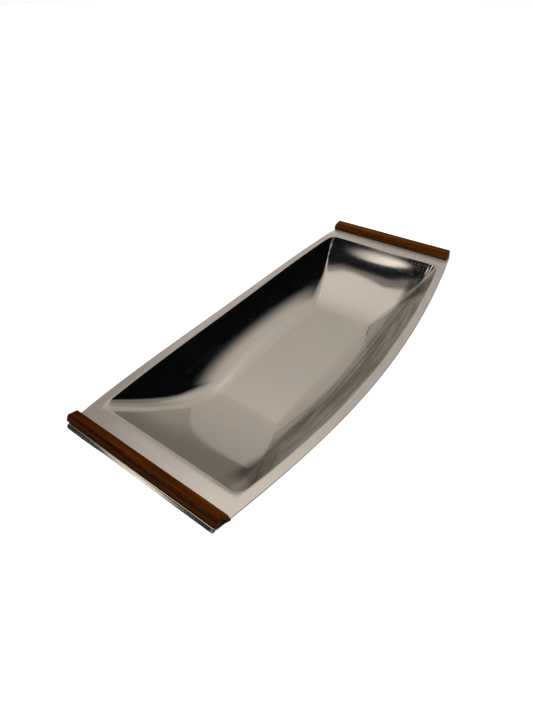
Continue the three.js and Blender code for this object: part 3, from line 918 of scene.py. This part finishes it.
class Sky:
    """The directions that the steel can reflect, with shapes for the lights laid out among them.

    Most lights are placed on a flat ceiling one unit above the tray, with right and back in those
    units, so that a straight edge up there stays straight. Lights near or below the horizon are
    placed by the direction's own x, y and z.
    """

    def __init__(self, nodes):
        self.nodes = nodes
        way = nodes.add("ShaderNodeTexCoord").outputs["Generated"]
        self.x, self.y, self.z = nodes.add("ShaderNodeSeparateXYZ", {0: way}).outputs
        self.height = nodes.math("MAXIMUM", self.z, 0.01)
        self.right = nodes.math("DIVIDE", self.x, self.height)
        self.back = nodes.math("DIVIDE", self.y, self.height)

    def product(self, first, *others):
        for other in others:
            first = self.nodes.math("MULTIPLY", first, other)
        return first

    def total(self, first, *others):
        for other in others:
            first = self.nodes.math("ADD", first, other)
        return first

    def bell(self, value):
        """One where the value is zero, falling away softly on both sides."""
        return self.nodes.math("EXPONENT", self.product(self.product(value, value), -1))

    def ridge(self, centre, reach):
        """A bell across the ceiling, along right."""
        offset = self.nodes.math("SUBTRACT", self.right, centre)
        return self.bell(self.nodes.math("DIVIDE", offset, reach))

    def spot(self, centre, reach, lean=0.0):
        """How far a ceiling point is from a centre, in units of a leaning ellipse's half axes."""
        math_node = self.nodes.math
        offset = math_node("SUBTRACT", self.right, centre[0])
        across = math_node("DIVIDE", offset, reach[0])
        leaned = math_node("MULTIPLY_ADD", offset, lean, self.back)
        along = math_node("DIVIDE", math_node("SUBTRACT", leaned, centre[1]), reach[1])
        square = math_node("MULTIPLY_ADD", across, across, self.product(along, along))
        return math_node("SQRT", square)

    def glow(self, strength, centre, reach):
        """A bell-shaped bright patch."""
        return self.product(self.bell(self.spot(centre, reach)), strength)


def window_light(sky):
    """The wide soft window behind the tray, with a dim sill along its front edge."""
    nodes, right, back = sky.nodes, sky.right, sky.back
    window = nodes.math("MULTIPLY_ADD", sky.height, WINDOW_LIGHT_PER_HEIGHT, WINDOW_LIGHT)
    window = sky.total(window, *(sky.glow(*place) for place in WINDOW_GLOWS))
    side = nodes.step(right, 0.30, 0.70, 1.0, 0.0)
    low_side = nodes.step(nodes.math("SUBTRACT", back, right), 0.30, 0.60, 0.0, 0.65)
    window = sky.product(window, nodes.math("MAXIMUM", side, low_side))

    # Its low part, straight behind the tray, is in shade.
    shade = nodes.step(nodes.math("MULTIPLY_ADD", back, 0.2, right), -0.10, 0.35)
    shade = sky.product(shade, nodes.step(back, 0.9, 1.5, 0.0, WINDOW_SHADE))
    window = sky.product(window, nodes.math("SUBTRACT", 1, shade))

    # The front edge is a little wavy, and steps forward on the left.
    fallen = nodes.step(right, -0.45, -0.405, 0.060, 0.010)
    edge = nodes.math("MULTIPLY_ADD", right, 0.16, nodes.math("SUBTRACT", back, fallen))
    edge = nodes.math("MULTIPLY_ADD", sky.ridge(-0.385, 0.045), 0.027, edge)
    edge = nodes.math("MULTIPLY_ADD", sky.ridge(-0.297, 0.025), -0.030, edge)
    past_corner = nodes.math("MAXIMUM", nodes.math("ADD", right, 0.29), 0)
    sill_edge = nodes.math("MULTIPLY_ADD", past_corner, 1.4, back)
    sill = nodes.step(nodes.math("SUBTRACT", sill_edge, fallen), -0.065, -0.020, 0.0, SILL_LIGHT)
    front = nodes.math("MAXIMUM", nodes.step(edge, -0.075, -0.010), sill)
    above_horizon = nodes.step(sky.z, -0.02, 0.03)
    return sky.product(window, front, above_horizon)


def lamp_light(sky):
    """An oval lamp ahead of the window, brighter to its right and back."""
    step = sky.nodes.step
    lamp = step(sky.spot(LAMP_PLACE, LAMP_REACH, LAMP_LEAN), 1.08, 0.72)
    across = step(sky.right, -0.42, -0.31, 0.3, LAMP_LIGHT)
    along = step(sky.back, -0.215, -0.17, 0.22, 1.0)
    return sky.product(lamp, across, along)


def strip_light(sky):
    """A narrow strip light that crosses the ceiling in front of the tray, on the left."""
    nodes, back = sky.nodes, sky.back
    leaned = nodes.math("MULTIPLY_ADD", back, -STRIP_LEAN, sky.right)
    offset = nodes.math("ABSOLUTE", nodes.math("SUBTRACT", leaned, STRIP_MIDDLE))
    widening = nodes.math("MULTIPLY_ADD", nodes.math("MINIMUM", back, 0), -0.6, 1)
    strip = nodes.step(nodes.math("DIVIDE", offset, widening), 0.11, 0.06, 0.0, STRIP_LIGHT)
    return sky.product(strip, nodes.step(back, -0.02, 0.10, 1.0, 0.0), nodes.step(back, -2.4, -1.9))


def doorway_light(sky):
    """A bright doorway that stands low in front of the tray, on the left."""
    step = sky.nodes.step
    offset = sky.nodes.math("ABSOLUTE", sky.nodes.math("SUBTRACT", sky.x, DOORWAY_MIDDLE))
    doorway = step(offset, 0.088, 0.020, 0.0, DOORWAY_LIGHT)
    top, foot = step(sky.z, 0.55, 0.35), step(sky.z, -0.95, -0.80)
    return sky.product(doorway, top, foot, step(sky.y, 0.0, -0.2))


def table_light(sky):
    """The pale table below the horizon, brighter away from the viewer."""
    step = sky.nodes.step
    return sky.product(step(sky.z, 0.0, -0.06), step(sky.y, 0.1, 0.7, *TABLE_LIGHTS))


def front_room_light(sky):
    """The dimly lit rest of the room in front of the tray: to the right, and higher in the middle."""
    step = sky.nodes.step
    place = sky.product(step(sky.x, -0.36, -0.22), step(sky.y, -0.16, -0.42))
    higher = sky.product(step(sky.y, -0.44, -0.58), step(sky.z, 0.84, 0.72), step(sky.x, 0.42, 0.25))
    reach = sky.nodes.math("MAXIMUM", step(sky.z, 0.62, 0.42), higher)
    return sky.product(place, sky.product(reach, FRONT_ROOM_LIGHT))


def make_world():
    """The room for reflections and light, and a plain pale backdrop for the camera."""
    world = bpy.data.worlds.new("studio")
    world.use_nodes = True
    world.node_tree.nodes.clear()
    nodes = Nodes(world.node_tree)
    sky = Sky(nodes)
    lights = [make(sky) for make in (window_light, lamp_light, strip_light, doorway_light,
                                     table_light, front_room_light)]
    light = sky.total(*lights, sky.glow(*HAZE))
    colour = nodes.blend(nodes.step(light, 0.0, 0.25), ROOM_COLOUR, WINDOW_COLOUR)
    strength = nodes.math("ADD", light, ROOM_LIGHT)
    room = nodes.add("ShaderNodeBackground", {"Color": colour, "Strength": strength})
    backdrop = nodes.add("ShaderNodeBackground", {"Color": (1, 1, 1, 1), "Strength": BACKDROP_LIGHT})
    seen = nodes.add("ShaderNodeLightPath").outputs["Is Camera Ray"]
    both = nodes.add("ShaderNodeMixShader", {0: seen, 1: room.outputs[0], 2: backdrop.outputs[0]})
    nodes.add("ShaderNodeOutputWorld", {"Surface": both.outputs[0]})
    bpy.context.scene.world = world


make_camera()
make_floor()
make_overhead_light()
make_world()
bpy.context.scene.view_settings.view_transform = "Standard"
